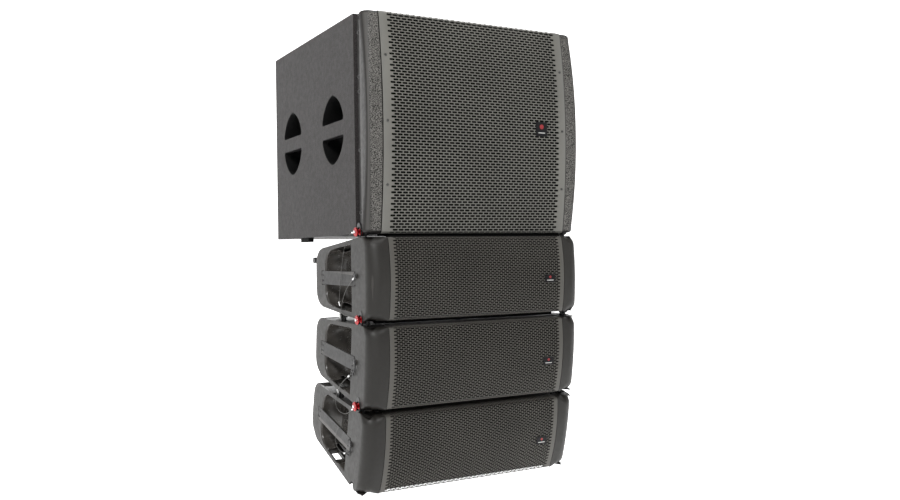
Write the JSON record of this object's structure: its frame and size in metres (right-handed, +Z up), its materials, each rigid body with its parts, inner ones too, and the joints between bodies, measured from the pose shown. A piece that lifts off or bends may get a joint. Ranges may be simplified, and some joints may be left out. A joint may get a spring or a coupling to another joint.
{
  "type": "line array speaker",
  "caption": "Flown line array: a bass box with splayed two-way elements pinned below, perforated bowed fronts, side hand pockets with bar handles and red ball-lock pins.",
  "frame": {"origin": "on the bass box's flat top face, straight above the front rigging pins, on the left-right centreline", "axes": "+Z up out of the top face, -Y towards the listener, +X to the right when facing the grilles"},
  "size_m": [0.72, 0.775, 1.3407],
  "materials": {
    "cabinet_paint": "textured satin paint over plywood",
    "cheek_paint": "coarse speckled paint",
    "panel_plastic": "satin moulded plastic",
    "cup_plastic": "matt black moulded plastic",
    "grille_steel": "powder-coated perforated sheet",
    "bar_steel": "satin paint",
    "rigging_steel": "black powder coat",
    "bolt_steel": "zinc plated",
    "driver_metal": "cast, black",
    "cone_paper": "treated paper",
    "horn_plastic": "matt",
    "plate_metal": "satin black",
    "skid_rubber": "matt",
    "badge_plastic": "gloss",
    "red_anodised": "anodised",
    "button_steel": "polished",
    "wire_steel": "stranded wire"
  },
  "bodies": {
    "sub": {"sub_cabinet": "cabinet_paint", "sub_hand_cups": "cup_plastic", "sub_cheeks": "cheek_paint", "sub_grille": "grille_steel", "sub_rails": "rigging_steel", "sub_rail_bolts": "bolt_steel", "sub_grille_screws": "bolt_steel", "sub_driver": "driver_metal", "sub_input_plate": "plate_metal", "sub_skids": "skid_rubber", "sub_rear_link": "rigging_steel", "sub_badge": "badge_plastic"},
    "sub_cone": {"sub_cone": "cone_paper"},
    "element_1": {"cabinet_1": "cabinet_paint", "side_panels_1": "panel_plastic", "grille_1": "grille_steel", "handle_bars_1": "bar_steel", "rigging_1": "rigging_steel", "woofers_1": "driver_metal", "horn_1": "horn_plastic", "input_plate_1": "plate_metal", "badge_1": "badge_plastic", "rear_bar": "rigging_steel", "lanyard_1": "wire_steel", "lanyard_2": "wire_steel"},
    "cones_1": {"cones_1": "cone_paper"},
    "element_2": {"cabinet_2": "cabinet_paint", "side_panels_2": "panel_plastic", "grille_2": "grille_steel", "handle_bars_2": "bar_steel", "rigging_2": "rigging_steel", "woofers_2": "driver_metal", "horn_2": "horn_plastic", "input_plate_2": "plate_metal", "badge_2": "badge_plastic", "lanyard_3": "wire_steel"},
    "cones_2": {"cones_2": "cone_paper"},
    "element_3": {"cabinet_3": "cabinet_paint", "side_panels_3": "panel_plastic", "grille_3": "grille_steel", "handle_bars_3": "bar_steel", "rigging_3": "rigging_steel", "woofers_3": "driver_metal", "horn_3": "horn_plastic", "input_plate_3": "plate_metal", "badge_3": "badge_plastic", "lanyard_4": "wire_steel"},
    "cones_3": {"cones_3": "cone_paper"},
    "pin_left_1": {"pin_left_1": "red_anodised"},
    "button_left_1": {"button_left_1": "button_steel"},
    "pin_left_2": {"pin_left_2": "red_anodised"},
    "button_left_2": {"button_left_2": "button_steel"},
    "pin_left_3": {"pin_left_3": "red_anodised"},
    "button_left_3": {"button_left_3": "button_steel"},
    "pin_right_1": {"pin_right_1": "rigging_steel"},
    "button_right_1": {"button_right_1": "button_steel"},
    "pin_right_2": {"pin_right_2": "rigging_steel"},
    "button_right_2": {"button_right_2": "button_steel"},
    "pin_right_3": {"pin_right_3": "rigging_steel"},
    "button_right_3": {"button_right_3": "button_steel"}
  },
  "joints": [
    {"name": "splay_1", "type": "hinge", "parent": "sub", "child": "element_1", "pos_m": [0, 0, -0.607], "axis": [1, 0, 0], "range_deg": [-4, 5]},
    {"name": "splay_2", "type": "hinge", "parent": "element_1", "child": "element_2", "pos_m": [0, 0, -0.849], "axis": [1, 0, 0], "range_deg": [-6, 4]},
    {"name": "splay_3", "type": "hinge", "parent": "element_2", "child": "element_3", "pos_m": [0, 0.0253, -1.08967], "axis": [1, 0, 0], "range_deg": [-7, 3]},
    {"name": "sub_cone_travel", "type": "slide", "parent": "sub", "child": "sub_cone", "axis": [0, -1, 0], "range_m": [-0.01, 0.01], "stiffness_N_per_m": 6000},
    {"name": "cone_travel_1", "type": "slide", "parent": "element_1", "child": "cones_1", "axis": [0, -1, 0], "range_m": [-0.004, 0.004], "stiffness_N_per_m": 5000},
    {"name": "cone_travel_2", "type": "slide", "parent": "element_2", "child": "cones_2", "axis": [0, -0.9945, -0.1045], "range_m": [-0.004, 0.004], "stiffness_N_per_m": 5000},
    {"name": "cone_travel_3", "type": "slide", "parent": "element_3", "child": "cones_3", "axis": [0, -0.9744, -0.225], "range_m": [-0.004, 0.004], "stiffness_N_per_m": 5000},
    {"name": "pin_pull_left_1", "type": "slide", "parent": "element_1", "child": "pin_left_1", "axis": [-1, 0, 0], "range_m": [0, 0.03]},
    {"name": "button_push_left_1", "type": "slide", "parent": "pin_left_1", "child": "button_left_1", "axis": [1, 0, 0], "range_m": [0, 0.003], "stiffness_N_per_m": 800, "springref_m": -0.003},
    {"name": "pin_pull_left_2", "type": "slide", "parent": "element_1", "child": "pin_left_2", "axis": [-1, 0, 0], "range_m": [0, 0.03]},
    {"name": "button_push_left_2", "type": "slide", "parent": "pin_left_2", "child": "button_left_2", "axis": [1, 0, 0], "range_m": [0, 0.003], "stiffness_N_per_m": 800, "springref_m": -0.003},
    {"name": "pin_pull_left_3", "type": "slide", "parent": "element_2", "child": "pin_left_3", "axis": [-1, 0, 0], "range_m": [0, 0.03]},
    {"name": "button_push_left_3", "type": "slide", "parent": "pin_left_3", "child": "button_left_3", "axis": [1, 0, 0], "range_m": [0, 0.003], "stiffness_N_per_m": 800, "springref_m": -0.003},
    {"name": "pin_pull_right_1", "type": "slide", "parent": "element_1", "child": "pin_right_1", "axis": [1, 0, 0], "range_m": [0, 0.03]},
    {"name": "button_push_right_1", "type": "slide", "parent": "pin_right_1", "child": "button_right_1", "axis": [-1, 0, 0], "range_m": [0, 0.003], "stiffness_N_per_m": 800, "springref_m": -0.003},
    {"name": "pin_pull_right_2", "type": "slide", "parent": "element_1", "child": "pin_right_2", "axis": [1, 0, 0], "range_m": [0, 0.03]},
    {"name": "button_push_right_2", "type": "slide", "parent": "pin_right_2", "child": "button_right_2", "axis": [-1, 0, 0], "range_m": [0, 0.003], "stiffness_N_per_m": 800, "springref_m": -0.003},
    {"name": "pin_pull_right_3", "type": "slide", "parent": "element_2", "child": "pin_right_3", "axis": [1, 0, 0], "range_m": [0, 0.03]},
    {"name": "button_push_right_3", "type": "slide", "parent": "pin_right_3", "child": "button_right_3", "axis": [-1, 0, 0], "range_m": [0, 0.003], "stiffness_N_per_m": 800, "springref_m": -0.003}
  ]
}
